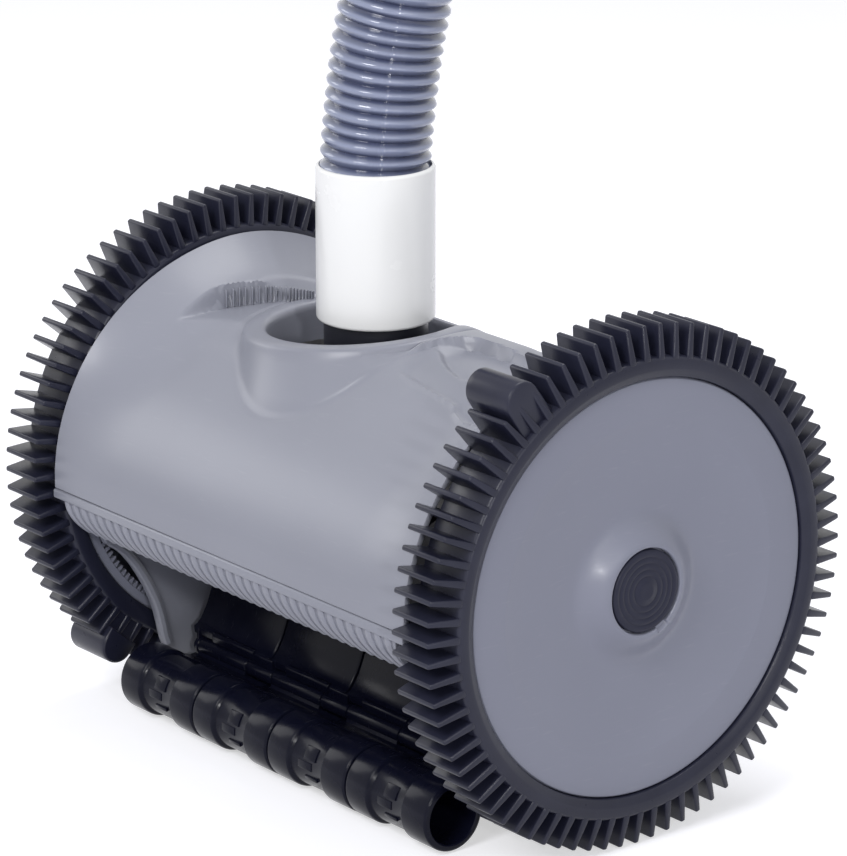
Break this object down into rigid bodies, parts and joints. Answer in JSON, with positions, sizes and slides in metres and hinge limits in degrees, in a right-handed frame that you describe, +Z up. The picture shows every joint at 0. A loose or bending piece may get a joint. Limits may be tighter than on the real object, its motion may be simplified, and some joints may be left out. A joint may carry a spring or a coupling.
{
  "type": "pool cleaner",
  "caption": "Suction pool cleaner: low grey arched body between two finned drive wheels, hinged skirts underneath, a swivel outlet on top with a white cuff and a ribbed leader hose.",
  "frame": {"origin": "on the ground under the middle of the wheel axis, at the bottom centre of the box round the cleaner without its hose and upper cuff", "axes": "+X along the wheel axis to the right wheel, +Y to the rear, +Z up"},
  "size_m": [0.3116, 0.226, 0.5855],
  "materials": {
    "shell_grey": "satin",
    "wheel_grey": "satin",
    "black_gloss": "gloss",
    "black_plastic": "satin",
    "tyre_rubber": "satin",
    "seal_rubber": "satin",
    "steel": "brushed",
    "white_plastic": "gloss",
    "hose_blue": "gloss",
    "brass": "satin",
    "foam": "matte"
  },
  "bodies": {
    "chassis": {"upper_shell": "shell_grey", "front_bumper": "shell_grey", "rear_bumper": "shell_grey", "side_plate_left": "shell_grey", "side_plate_right": "shell_grey", "bumper_screws": "steel", "float_blocks": "foam", "vac_head": "black_gloss", "head_screws": "steel", "front_hinge_pin": "steel", "rear_hinge_pin": "steel", "throat_flap_pins": "steel", "turbine_housing_left": "black_plastic", "turbine_housing_right": "black_plastic", "gear_cover": "black_plastic", "housing_screws": "steel", "turbine_bearings": "brass", "reduction_pin": "steel", "drive_bearings": "brass", "axle_left": "steel", "axle_right": "steel", "axle_washers": "steel", "axle_screws": "steel", "outlet_neck": "black_plastic", "neck_seal": "seal_rubber", "swivel_base": "black_plastic", "swivel_bearing": "white_plastic", "swivel_retainer": "black_plastic"},
    "right_wheel": {"wheel_right": "wheel_grey", "tyre_right": "tyre_rubber", "wheel_bearing_right": "white_plastic", "hub_cap_right": "black_gloss"},
    "left_wheel": {"wheel_left": "wheel_grey", "tyre_left": "tyre_rubber", "wheel_bearing_left": "white_plastic", "hub_cap_left": "black_gloss"},
    "drive_axle": {"drive_shaft": "steel", "drive_gear": "white_plastic", "drive_pinion_left": "brass", "drive_pinion_right": "brass"},
    "reduction": {"reduction_gear": "white_plastic"},
    "turbine_rotor": {"turbine": "white_plastic", "turbine_shaft": "steel", "turbine_pinion": "brass"},
    "swivel": {"swivel_stem": "black_plastic", "hose_cuff": "white_plastic", "leader_hose": "hose_blue", "upper_cuff": "white_plastic"},
    "front_flap_1": {"front_skirt_1": "black_gloss"},
    "front_flap_2": {"front_skirt_2": "black_gloss"},
    "front_flap_3": {"front_skirt_3": "black_gloss"},
    "front_flap_4": {"front_skirt_4": "black_gloss"},
    "rear_flap_1": {"rear_skirt_1": "black_gloss"},
    "rear_flap_2": {"rear_skirt_2": "black_gloss"},
    "rear_flap_3": {"rear_skirt_3": "black_gloss"},
    "rear_flap_4": {"rear_skirt_4": "black_gloss"},
    "front_valve": {"front_throat_flap": "seal_rubber"},
    "rear_valve": {"rear_throat_flap": "seal_rubber"}
  },
  "joints": [
    {"name": "right_wheel_spin", "type": "hinge", "parent": "chassis", "child": "right_wheel", "pos_m": [0.14, 0, 0.113], "axis": [1, 0, 0], "continuous": true},
    {"name": "left_wheel_spin", "type": "hinge", "parent": "chassis", "child": "left_wheel", "pos_m": [-0.14, 0, 0.113], "axis": [1, 0, 0], "continuous": true},
    {"name": "drive_axle_spin", "type": "hinge", "parent": "chassis", "child": "drive_axle", "pos_m": [0, 0.05397, 0.05808], "axis": [1, 0, 0], "continuous": true},
    {"name": "reduction_spin", "type": "hinge", "parent": "chassis", "child": "reduction", "pos_m": [0.006, 0.03227, 0.0724], "axis": [1, 0, 0], "continuous": true},
    {"name": "turbine_spin", "type": "hinge", "parent": "chassis", "child": "turbine_rotor", "pos_m": [-0.0255, 0.009, 0.084], "axis": [1, 0, 0], "continuous": true},
    {"name": "hose_swivel", "type": "hinge", "parent": "chassis", "child": "swivel", "pos_m": [-0.0255, 0, 0.18], "axis": [0, 0, 1], "continuous": true},
    {"name": "front_flap_1_swing", "type": "hinge", "parent": "chassis", "child": "front_flap_1", "pos_m": [-0.08325, -0.036, 0.0235], "axis": [-1, 0, 0], "range_deg": [-15, 4]},
    {"name": "front_flap_2_swing", "type": "hinge", "parent": "chassis", "child": "front_flap_2", "pos_m": [-0.02775, -0.036, 0.0235], "axis": [-1, 0, 0], "range_deg": [-15, 4]},
    {"name": "front_flap_3_swing", "type": "hinge", "parent": "chassis", "child": "front_flap_3", "pos_m": [0.02775, -0.036, 0.0235], "axis": [-1, 0, 0], "range_deg": [-15, 4]},
    {"name": "front_flap_4_swing", "type": "hinge", "parent": "chassis", "child": "front_flap_4", "pos_m": [0.08325, -0.036, 0.0235], "axis": [-1, 0, 0], "range_deg": [-15, 4]},
    {"name": "rear_flap_1_swing", "type": "hinge", "parent": "chassis", "child": "rear_flap_1", "pos_m": [-0.08325, 0.036, 0.0235], "axis": [1, 0, 0], "range_deg": [-15, 4]},
    {"name": "rear_flap_2_swing", "type": "hinge", "parent": "chassis", "child": "rear_flap_2", "pos_m": [-0.02775, 0.036, 0.0235], "axis": [1, 0, 0], "range_deg": [-15, 4]},
    {"name": "rear_flap_3_swing", "type": "hinge", "parent": "chassis", "child": "rear_flap_3", "pos_m": [0.02775, 0.036, 0.0235], "axis": [1, 0, 0], "range_deg": [-15, 4]},
    {"name": "rear_flap_4_swing", "type": "hinge", "parent": "chassis", "child": "rear_flap_4", "pos_m": [0.08325, 0.036, 0.0235], "axis": [1, 0, 0], "range_deg": [-15, 4]},
    {"name": "front_valve_swing", "type": "hinge", "parent": "chassis", "child": "front_valve", "pos_m": [-0.0255, -0.025, 0.033], "axis": [-1, 0, 0], "range_deg": [-10, 25]},
    {"name": "rear_valve_swing", "type": "hinge", "parent": "chassis", "child": "rear_valve", "pos_m": [-0.0255, 0.025, 0.033], "axis": [1, 0, 0], "range_deg": [-10, 25]}
  ],
  "couplings": [
    {"joint": "left_wheel_spin", "follows": "right_wheel_spin", "ratio": 1},
    {"joint": "drive_axle_spin", "follows": "right_wheel_spin", "ratio": 12},
    {"joint": "reduction_spin", "follows": "right_wheel_spin", "ratio": -12},
    {"joint": "turbine_spin", "follows": "right_wheel_spin", "ratio": 40}
  ]
}
